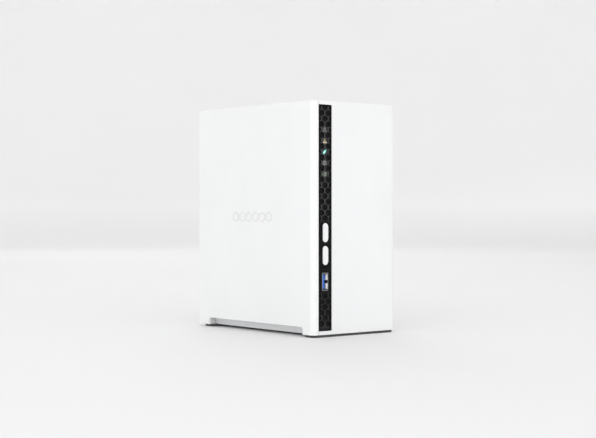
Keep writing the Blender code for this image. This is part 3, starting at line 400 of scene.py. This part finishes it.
def add_prism(bm, outline, axis, low, high):
    """A closed extrusion of an outline, whose points lie along the other two axes in X, Y, Z order."""
    place = {
        "X": lambda a, b, t: (t, a, b),
        "Y": lambda a, b, t: (a, t, b),
        "Z": lambda a, b, t: (a, b, t),
    }[axis]
    lower = [bm.verts.new(place(a, b, low)) for a, b in outline]
    upper = [bm.verts.new(place(a, b, high)) for a, b in outline]
    faces = [bm.faces.new(lower), bm.faces.new(upper)]
    for i in range(len(outline)):
        j = (i + 1) % len(outline)
        faces.append(bm.faces.new((lower[i], lower[j], upper[j], upper[i])))
    bmesh.ops.recalc_face_normals(bm, faces=faces)


def add_box(bm, x, y, z):
    add_prism(bm, rectangle(x, y), "Z", z[0], z[1])


def add_strip(bm, path, axis, low, high, thickness):
    """A thin bent sheet: a path in the plane across an axis, thickened, and extruded along that axis."""
    near, far = [], []
    for i, (a, b) in enumerate(path):
        before = path[max(i - 1, 0)]
        after = path[min(i + 1, len(path) - 1)]
        along = Vector((after[0] - before[0], after[1] - before[1])).normalized() * (thickness / 2)
        near.append((a - along.y, b + along.x))
        far.append((a + along.y, b - along.x))
    add_prism(bm, near + far[::-1], axis, low, high)


def add_ring(bm, centre, inner, outer, axis, low, high, sides=28):
    """A flat ring with a square section."""
    place = {"Y": lambda a, b, t: (a, t, b), "Z": lambda a, b, t: (a, b, t)}[axis]
    corners = []
    for radius, level in ((inner, low), (outer, low), (outer, high), (inner, high)):
        corners.append([bm.verts.new(place(a, b, level)) for a, b in circle(centre, radius, sides)])
    faces = []
    for k in range(4):
        here, there = corners[k], corners[(k + 1) % 4]
        for i in range(sides):
            j = (i + 1) % sides
            faces.append(bm.faces.new((here[i], here[j], there[j], there[i])))
    bmesh.ops.recalc_face_normals(bm, faces=faces)


def make_piece(name, material, bm, edge=0.0):
    """Turn a bmesh in millimetres into an object in metres that rides on the chassis."""
    bmesh.ops.scale(bm, verts=bm.verts, vec=(MM, MM, MM))
    mesh = bpy.data.meshes.new(name)
    bm.to_mesh(mesh)
    bm.free()
    mesh.materials.append(material)
    obj = bpy.data.objects.new(name, mesh)
    bpy.context.scene.collection.objects.link(obj)
    soften(obj, edge * MM)
    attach(obj, CHASSIS)
    return obj


def extent(node, axis):
    """Where a CAD node starts and ends along an axis, in millimetres."""
    low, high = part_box(node)
    index = "XYZ".index(axis)
    return low[index] / MM, high[index] / MM


# ---------------------------------------------------------------- indicators in the front strip


def symbol_outlines(index):
    """The printed shapes on one light guide, round its centre: a list of (finish, outlines)."""
    if index == 0:
        roof = [(-1.7, -1.9), (-1.0, -1.9), (0.0, 0.9), (1.0, -1.9), (1.7, -1.9), (0.35, 2.2), (-0.35, 2.2)]
        return [("symbol_dim", [roof, circle((0.0, -1.5), 0.4, 12)])]
    if index == 1:
        return [
            ("symbol_sand", [[(-2.3, -2.0), (2.3, -2.0), (1.45, -0.6), (-1.45, -0.6)]]),
            ("symbol_amber", [[(-1.3, -0.35), (1.3, -0.35), (0.0, 2.0)]]),
        ]
    if index == 2:
        leaf = [(-2.1, -1.7), (-0.6, -2.1), (1.0, -0.5), (2.2, 2.0), (0.2, 1.7), (-1.7, 0.2)]
        core = [(-1.3, -1.1), (-0.4, -1.3), (0.45, -0.2), (0.8, 0.9), (-0.1, 0.8), (-1.1, 0.0)]
        return [("symbol_teal", [leaf]), ("symbol_core", [core])]
    if index == 3:
        upper = [(2.05 * math.cos(a), 0.28 + 1.7 * math.sin(a)) for a in arc(0, 180)]
        lower = [(2.05 * math.cos(a), -0.28 + 1.7 * math.sin(a)) for a in arc(180, 360)]
        return [("symbol_grey", [upper, lower])]
    crescent = [(2.0 * math.cos(a), 2.0 * math.sin(a)) for a in arc(-115, 115)]
    crescent += [(-0.7 + 0.65 * math.cos(a), 0.65 * math.sin(a)) for a in arc(80, -80)]
    back = [(-0.75 + 1.35 * math.cos(a), 1.7 * math.sin(a)) for a in arc(125, 235)]
    back += [(-0.75 + 0.65 * math.cos(a), 0.8 * math.sin(a)) for a in arc(235, 125)]
    return [("symbol_moss", [crescent, back])]


def arc(start, end, steps=14):
    """Angles in radians from one angle in degrees to another."""
    return [math.radians(start + (end - start) * i / steps) for i in range(steps + 1)]


SYMBOL_FINISHES = {
    "symbol_dim": glowing("symbol_dim", (0.20, 0.20, 0.20)),
    "symbol_sand": glowing("symbol_sand", (0.42, 0.36, 0.26), (1.0, 0.80, 0.55), 0.16),
    "symbol_amber": glowing("symbol_amber", (0.27, 0.21, 0.12), (1.0, 0.72, 0.42), 0.05),
    "symbol_teal": glowing("symbol_teal", (0.03, 0.30, 0.25), (0.10, 1.0, 0.80), 0.24),
    "symbol_core": glowing("symbol_core", (0.6, 0.9, 0.85), (0.70, 1.0, 0.94), 0.6),
    "symbol_grey": glowing("symbol_grey", (0.17, 0.17, 0.165)),
    "symbol_moss": glowing("symbol_moss", (0.17, 0.20, 0.16)),
}
INDICATORS = 5


def make_indicators():
    lamps = bmesh.new()
    for index in range(INDICATORS):
        node = f"light_pipe_{index + 1}"
        x = sum(extent(node, "X")) / 2
        z = sum(extent(node, "Z")) / 2
        face, back = extent(node, "Y")
        for layer, (finish, outlines) in enumerate(symbol_outlines(index)):
            bm = bmesh.new()
            for outline in outlines:
                placed = [(x + a, z + b) for a, b in outline]
                add_prism(bm, placed, "Y", face - 0.08 - 0.05 * layer, face + 0.05)
            make_piece(f"{finish}_{index + 1}", SYMBOL_FINISHES[finish], bm)
        board = extent("front_board", "Y")[0]
        add_box(lamps, centred(x, 3.2), (back + 0.25, board), centred(z, 1.6))
    make_piece("indicator_lamps", LAMP_BODY, lamps, edge=0.12)


# ---------------------------------------------------------------- sockets


USB_WALL = 0.4  # sheet thickness of the type A sockets' shells
CONTACT_PITCH = 2.5  # of the four long contacts in a type A socket


def make_front_socket_details():
    """Two leaf springs in the front socket's right wall and nine contacts on its tongue."""
    left, right = extent("front_usb", "X")
    low, high = extent("front_usb", "Z")
    face = extent("front_usb", "Y")[0]
    wall = right - USB_WALL
    springs = bmesh.new()
    holes = bmesh.new()
    middle = (low + high) / 2
    for z in (middle - 3.6, middle + 3.6):
        path = [(wall - 0.12, face + 0.35), (wall - 0.55, face + 1.0), (wall - 1.0, face + 1.8)]
        path += [(wall - 1.15, face + 2.6), (wall - 0.95, face + 3.6), (wall - 0.35, face + 5.2)]
        add_strip(springs, path, "Z", z - 2.3, z + 2.3, 0.2)
    # A near-black box as painted shade in the wall's cut-out between the springs.
    add_box(holes, (wall - 0.06, wall + 0.1), (face + 0.6, face + 3.0), centred(middle, 1.9))
    make_piece("front_socket_springs", SPRING, springs, edge=0.04)
    make_piece("front_socket_hole_shade", HOLE_SHADE, holes)
    tongue = extent("front_usb_tongue", "X")[1]
    start = extent("front_usb_tongue", "Y")[0]
    contacts = bmesh.new()
    for k in range(4):
        z = middle + (k - 1.5) * CONTACT_PITCH
        add_box(contacts, (tongue - 0.05, tongue + 0.12), (start + 0.5, start + 6.5), centred(z, 1.0))
    for k in range(5):
        z = middle + (k - 2) * 2.0
        add_box(contacts, (tongue - 0.05, tongue + 0.1), (start + 0.15, start + 0.4), centred(z, 0.6))
    make_piece("front_socket_contacts", GOLD, contacts, edge=0.02)


def make_rear_socket_details():
    """Contacts and springs in the rear sockets, and the network socket's wires and its two lamps."""
    contacts = bmesh.new()
    springs = bmesh.new()
    for name in ("rear_usb_lower", "rear_usb_upper"):
        face = extent(name, "Y")[1]
        floor = extent(name, "Z")[0] + USB_WALL
        middle = sum(extent(name, "X")) / 2
        under = extent(name + "_tongue", "Z")[0]
        tip = extent(name + "_tongue", "Y")[1]
        for k in range(4):
            x = middle + (k - 1.5) * CONTACT_PITCH
            add_box(contacts, centred(x, 1.0), (tip - 6.5, tip - 0.6), (under - 0.1, under + 0.05))
        for x in (middle - 3.1, middle + 3.1):
            path = [(face - 1.1, floor + 0.12), (face - 2.3, floor + 0.35), (face - 3.8, floor + 0.75)]
            path += [(face - 4.6, floor + 0.8), (face - 5.8, floor + 0.4)]
            add_strip(springs, path, "X", x - 0.9, x + 0.9, 0.2)
    low, high = extent("lan_socket", "Z")
    middle = sum(extent("lan_socket", "X")) / 2
    face = extent("lan_socket", "Y")[1]
    roof = low + 12.2
    for k in range(8):
        x = middle + (k - 3.5) * 1.02
        path = [(face - 1.6, roof - 0.15), (face - 5.0, roof - 0.9)]
        path += [(face - 9.0, roof - 2.6), (face - 10.5, roof - 3.0)]
        add_strip(contacts, path, "X", x - 0.22, x + 0.22, 0.3)
    make_piece("rear_socket_contacts", GOLD, contacts)
    make_piece("rear_socket_springs", SPRING, springs, edge=0.04)
    for name, finish, side in (("lan_lamp_green", LENS_GREEN, -1), ("lan_lamp_amber", LENS_AMBER, 1)):
        bm = bmesh.new()
        add_box(bm, centred(middle + side * 5.4, 3.0), (face - 0.4, face + 0.08), (low + 0.4, low + 2.0))
        make_piece(name, finish, bm, edge=0.05)


# ---------------------------------------------------------------- boards


CAN_PLACES = ((-24.0, 50.0), (-24.0, 42.0), (-16.0, 50.0), (13.0, 50.0), (26.0, -10.0), (-26.0, -14.0))
INDUCTOR_PLACES = ((-26.0, 30.0), (-26.0, 21.0), (-26.0, 12.0), (27.0, -20.0))
CHIPS = ((-24.0, -30.0, 7.0, 7.0), (24.0, -34.0, 5.0, 6.2), (4.0, 48.0, 6.0, 5.0), (-2.0, -30.0, 9.0, 9.0))
LEG_PITCH = 0.8


def make_mainboard_parts():
    """Capacitors, inductors, small chips, resistors and nylon connectors on the mainboard."""
    top = extent("mainboard", "Z")[1]
    sleeves, caps = bmesh.new(), bmesh.new()
    for x, y in CAN_PLACES:
        add_prism(sleeves, circle((x, y), 2.6), "Z", top, top + 5.4)
        add_prism(caps, circle((x, y), 2.35), "Z", top + 5.35, top + 5.5)
        for turn in range(3):
            lean = turn * math.pi / 3
            a, b = 1.7 * math.cos(lean), 1.7 * math.sin(lean)
            p, q = 0.12 * math.sin(lean), -0.12 * math.cos(lean)
            bar = [(x - a - p, y - b - q), (x + a - p, y + b - q)]
            bar += [(x + a + p, y + b + q), (x - a + p, y - b + q)]
            add_prism(caps, bar, "Z", top + 5.5, top + 5.56)
    make_piece("capacitor_sleeves", SLEEVE, sleeves, edge=0.25)
    make_piece("capacitor_tops", SOLDER, caps)
    chokes = bmesh.new()
    for x, y in INDUCTOR_PLACES:
        add_box(chokes, centred(x, 6.6), centred(y, 6.6), (top, top + 3.0))
    make_piece("inductors", FERRITE, chokes, edge=0.5)
    chips, legs = bmesh.new(), bmesh.new()
    for x, y, wide, deep in CHIPS:
        add_box(chips, centred(x, wide), centred(y, deep), (top + 0.12, top + 1.2))
        count = int(deep / LEG_PITCH)
        for k in range(count):
            along = y + (k - (count - 1) / 2) * LEG_PITCH
            for side in (-1, 1):
                reach = sorted((x + side * (wide / 2 - 0.1), x + side * (wide / 2 + 0.9)))
                add_box(legs, reach, centred(along, 0.32), (top, top + 0.3))
    make_piece("small_chips", MATERIALS["chip_black"], chips, edge=0.15)
    bodies = bmesh.new()
    for column in range(9):
        for row in range(7):
            x = -29.0 + column * 7.1 + (row % 3) * 1.3
            y = -66.0 + row * 18.5 + (column % 4) * 2.1
            if clear_of_parts(x, y):
                add_box(bodies, centred(x, 1.2), centred(y, 0.8), (top, top + 0.5))
                for side in (-1, 1):
                    add_box(legs, centred(x + side * 0.8, 0.45), centred(y, 0.8), (top, top + 0.52))
    make_piece("small_resistors", CERAMIC, bodies)
    make_piece("solder_legs", SOLDER, legs)
    plugs = bmesh.new()
    add_box(plugs, (31.4, 35.6), (46.4, 51.6), (top, top + 4.6))
    add_box(plugs, (-36.6, -32.4), (-69.6, -64.9), (top, top + 4.6))
    make_piece("lead_connectors", NYLON, plugs, edge=0.35)


STANDING_NODES = (
    "processor", "heatsink", "memory_chip", "buzzer", "coin_cell", "drive_socket_left", "drive_socket_right",
    "lan_socket", "rear_usb_lower", "power_inlet", "reset_switch", "board_screw_1", "board_screw_2",
    "board_screw_3", "board_screw_4", "fan_lead", "front_lead",
)
LOW_ENOUGH = 15.0  # a node that starts above this height leaves the board under it free


def clear_of_parts(x, y):
    """Whether a small part at this place keeps clear of everything else that stands on the mainboard."""
    for node in STANDING_NODES:
        (x0, x1), (y0, y1) = extent(node, "X"), extent(node, "Y")
        if x0 - 2.5 < x < x1 + 2.5 and y0 - 2.0 < y < y1 + 2.0 and extent(node, "Z")[0] < LOW_ENOUGH:
            return False
    others = CAN_PLACES + INDUCTOR_PLACES + tuple(chip[:2] for chip in CHIPS)
    return all(math.hypot(x - a, y - b) > 7.0 for a, b in others)


def make_front_board_parts():
    """Resistors beside the lamps, with solder on their ends, on the front board."""
    board = extent("front_board", "Y")[0]
    middle = sum(extent("light_pipe_1", "X")) / 2
    bodies, ends = bmesh.new(), bmesh.new()
    for index in range(INDICATORS):
        z = sum(extent(f"light_pipe_{index + 1}", "Z")) / 2
        for side in (-1, 1):
            x = middle + side * 4.6
            add_box(bodies, centred(x, 0.8), (board - 0.5, board), centred(z, 1.3))
            for up in (-1, 1):
                add_box(ends, centred(x, 0.8), (board - 0.52, board), centred(z + up * 0.85, 0.4))
    make_piece("front_board_resistors", CERAMIC, bodies)
    make_piece("front_board_solder", SOLDER, ends)


# ---------------------------------------------------------------- drives and fan


CAGE_FLANGE = 6.3  # how far the cage's feet stand out from its upright plates
DRIVE_HOLES_Y = 47.63  # half the spacing of a 3.5 inch drive's holes
DRIVE_HOLES_Z = (41.28, 117.48)  # the holes' heights above the drive's connector end
DRIVE_CHIPS = (  # place along the drive, height, width and height of each chip
    (-18.0, 40.0, 12.0, 12.0),
    (4.0, 46.0, 9.0, 6.0),
    (20.0, 26.0, 8.0, 8.0),
    (-20.0, 20.0, 5.0, 6.0),
)
# radius, sides, start and end outwards from the cage's plate: the head, its raised middle and the shank
SCREW_STEPS = ((2.9, 24, 0.02, 1.1), (2.1, 24, 1.1, 1.5), (1.55, 16, 0.02, -5.6))


def make_drive_screws():
    """Eight pan-head screws through the cage into the drives' threaded holes."""
    heads, slots = bmesh.new(), bmesh.new()
    outer = extent("drive_cage", "X")[1] - CAGE_FLANGE
    front, back = extent("drive_left", "Y")
    low = extent("drive_left", "Z")[0]
    middle = (front + back) / 2
    for side in (-1, 1):
        for way in (-1, 1):
            for height in DRIVE_HOLES_Z:
                place = (middle + way * DRIVE_HOLES_Y, low + height)
                for radius, sides, start, end in SCREW_STEPS:
                    ends = sorted((side * (outer + start), side * (outer + end)))
                    add_prism(heads, circle(place, radius, sides), "X", *ends)
                # Near-black bars on each head as painted shade in its cross recess.
                for wide, tall in ((2.4, 0.5), (0.5, 2.4)):
                    bar = rectangle(centred(place[0], wide), centred(place[1], tall))
                    add_prism(slots, bar, "X", *sorted((side * (outer + 1.45), side * (outer + 1.52))))
    make_piece("drive_screws", MATERIALS["screw_zinc"], heads, edge=0.2)
    make_piece("drive_screw_slot_shade", HOLE_SHADE, slots)


def make_drive_boards():
    """The circuit board in each drive's recess, with its chips."""
    for name, side in (("drive_left", -1), ("drive_right", 1)):
        outer = extent(name, "X")[0 if side < 0 else 1]
        floor = outer - side * 1.2
        front, back = extent(name, "Y")
        low = extent(name, "Z")[0]
        middle = (front + back) / 2
        board, chips = bmesh.new(), bmesh.new()
        outline = rectangle(centred(middle, 70.0), (low + 9.0, low + 61.0))
        add_prism(board, outline, "X", *sorted((floor, floor + side * 0.6)))
        for y, z, wide, tall in DRIVE_CHIPS:
            block = rectangle(centred(middle + y, wide), centred(low + z, tall))
            add_prism(chips, block, "X", *sorted((floor + side * 0.55, floor + side * 1.1)))
        make_piece(f"{name}_board", MATERIALS["board_green"], board)
        make_piece(f"{name}_chips", MATERIALS["chip_black"], chips, edge=0.1)


def make_fan_label():
    """A blank foil disc on the motor's mount, with a thin raised rim, seen through the grille."""
    middle = sum(extent("fan_frame", "X")) / 2
    height = sum(extent("fan_frame", "Z")) / 2
    back = extent("fan_frame", "Y")[1]
    disc = bmesh.new()
    add_prism(disc, circle((middle, height), 13.0, 48), "Y", back - 0.02, back + 0.08)
    make_piece("fan_label", LABEL, disc)
    rim = bmesh.new()
    add_ring(rim, (middle, height), 11.6, 12.2, "Y", back + 0.06, back + 0.12, 48)
    make_piece("fan_label_rim", MATERIALS["fan_black"], rim)


make_indicators()
make_front_socket_details()
make_rear_socket_details()
make_mainboard_parts()
make_front_board_parts()
make_drive_screws()
make_drive_boards()
make_fan_label()


# ---------------------------------------------------------------- stage, light and camera


FLOOR_RADIUS = 2.6
BEND_RADIUS = 1.2
WALL_TOP = 3.2
STAGE_SIDES = 96


def paper():
    """White paper with faint mottling, darker far out on the floor, and painted light that makes it lighter
    up the wall, where less light reaches.
    """
    g = Graph("stage_paper")
    mottle = g.noise(2.0, 3.0, 0.5)
    fibre = g.noise(900.0, 3.0, 0.6)
    height = g.add("ShaderNodeSeparateXYZ", {"Vector": g.place}).outputs["Z"]
    away = g.add("ShaderNodeVectorMath", {"Vector": g.place}, operation="LENGTH").outputs["Value"]
    floor_tint = g.blend(g.span(away, 0.6, 1.5), (0.765, 0.765, 0.765), (0.725, 0.725, 0.725))
    # Painted light: the wall is coloured lighter with height to make up for the light it lacks.
    wall_tint = g.blend(g.span(height, 0.12, 0.8), (0.875, 0.875, 0.875), (0.90, 0.90, 0.90))
    tint = g.blend(g.span(height, 0.0, 0.12), floor_tint, wall_tint)
    tint = g.blend(g.span(mottle, 0.3, 0.7, 0.0, 0.15), tint, (0.80, 0.80, 0.80))
    g.set(Base_Color=tint, Roughness=g.span(fibre, 0.3, 0.7, 0.7, 0.85), Specular_IOR_Level=0.2)
    return g.material


def make_stage():
    """A pale floor that curves up on all sides into a backdrop."""
    profile = [(0.6, 0.0), (1.4, 0.0), (FLOOR_RADIUS, 0.0)]
    for step in range(1, 13):
        angle = step * math.pi / 24
        profile.append((FLOOR_RADIUS + BEND_RADIUS * math.sin(angle), BEND_RADIUS * (1 - math.cos(angle))))
    profile.append((FLOOR_RADIUS + BEND_RADIUS, WALL_TOP))
    bm = bmesh.new()
    rings = []
    for radius, height in profile:
        ring = []
        for i in range(STAGE_SIDES):
            turn = 2 * math.pi * i / STAGE_SIDES
            ring.append(bm.verts.new((radius * math.cos(turn), radius * math.sin(turn), height)))
        rings.append(ring)
    bm.faces.new(rings[0])
    for lower, upper in zip(rings, rings[1:]):
        for i in range(STAGE_SIDES):
            j = (i + 1) % STAGE_SIDES
            bm.faces.new((lower[i], upper[i], upper[j], lower[j]))
    for face in bm.faces:
        face.smooth = True
    mesh = bpy.data.meshes.new("stage")
    bm.to_mesh(mesh)
    bm.free()
    mesh.materials.append(paper())
    stage = bpy.data.objects.new("stage", mesh)
    bpy.context.scene.collection.objects.link(stage)


LIT_POINT = Vector((0.0, 0.0, 0.09))
WORLD_STRENGTH = 1.06


def add_light(name, place, size, power):
    """A rectangular light that faces the middle of the box and doesn't show in the picture."""
    data = bpy.data.lights.new(name, "AREA")
    data.shape = "RECTANGLE"
    data.size, data.size_y = size
    data.energy = power
    light = bpy.data.objects.new(name, data)
    light.location = place
    light.rotation_euler = (LIT_POINT - Vector(place)).to_track_quat("-Z", "Y").to_euler()
    light.visible_camera = False
    bpy.context.scene.collection.objects.link(light)


def make_lights():
    add_light("key_left", (-2.1, -0.9, 1.3), (1.6, 1.6), 9.0)
    add_light("key_front", (-0.5, -2.3, 0.8), (1.4, 0.9), 8.0)
    add_light("low_left", (-1.7, -1.3, 0.25), (1.0, 0.4), 4.0)
    add_light("fill_back", (1.2, 2.0, 1.5), (1.6, 1.4), 10.0)
    world = bpy.data.worlds.new("studio")
    world.use_nodes = True
    background = world.node_tree.nodes["Background"]
    background.inputs["Color"].default_value = (1.0, 1.0, 1.0, 1.0)
    background.inputs["Strength"].default_value = WORLD_STRENGTH
    bpy.context.scene.world = world


CAMERA_LENS = 80.0  # on a 36 mm wide sensor
CAMERA_AZIMUTH = math.radians(-39.22)
CAMERA_ELEVATION = math.radians(0.32)
CAMERA_DISTANCE = 1.1368
CAMERA_AIM = 0.0940  # height of the point that it looks at
CAMERA_ASIDE = 0.0027  # how far right of the middle that point lies


def make_camera():
    data = bpy.data.cameras.new("camera")
    data.lens = CAMERA_LENS
    data.sensor_width = 36.0
    data.clip_start, data.clip_end = 0.01, 50.0
    camera = bpy.data.objects.new("camera", data)
    bpy.context.scene.collection.objects.link(camera)
    a, e = CAMERA_AZIMUTH, CAMERA_ELEVATION
    back = Vector((math.sin(a) * math.cos(e), -math.cos(a) * math.cos(e), math.sin(e)))
    right = Vector((math.cos(a), math.sin(a), 0.0))
    target = Vector((0.0, 0.0, CAMERA_AIM)) + right * CAMERA_ASIDE
    camera.location = target + back * CAMERA_DISTANCE
    camera.rotation_mode = "QUATERNION"
    camera.rotation_quaternion = (-back).to_track_quat("-Z", "Y")
    bpy.context.scene.camera = camera


make_camera()
make_stage()
make_lights()
bpy.context.scene.view_settings.view_transform = "Standard"
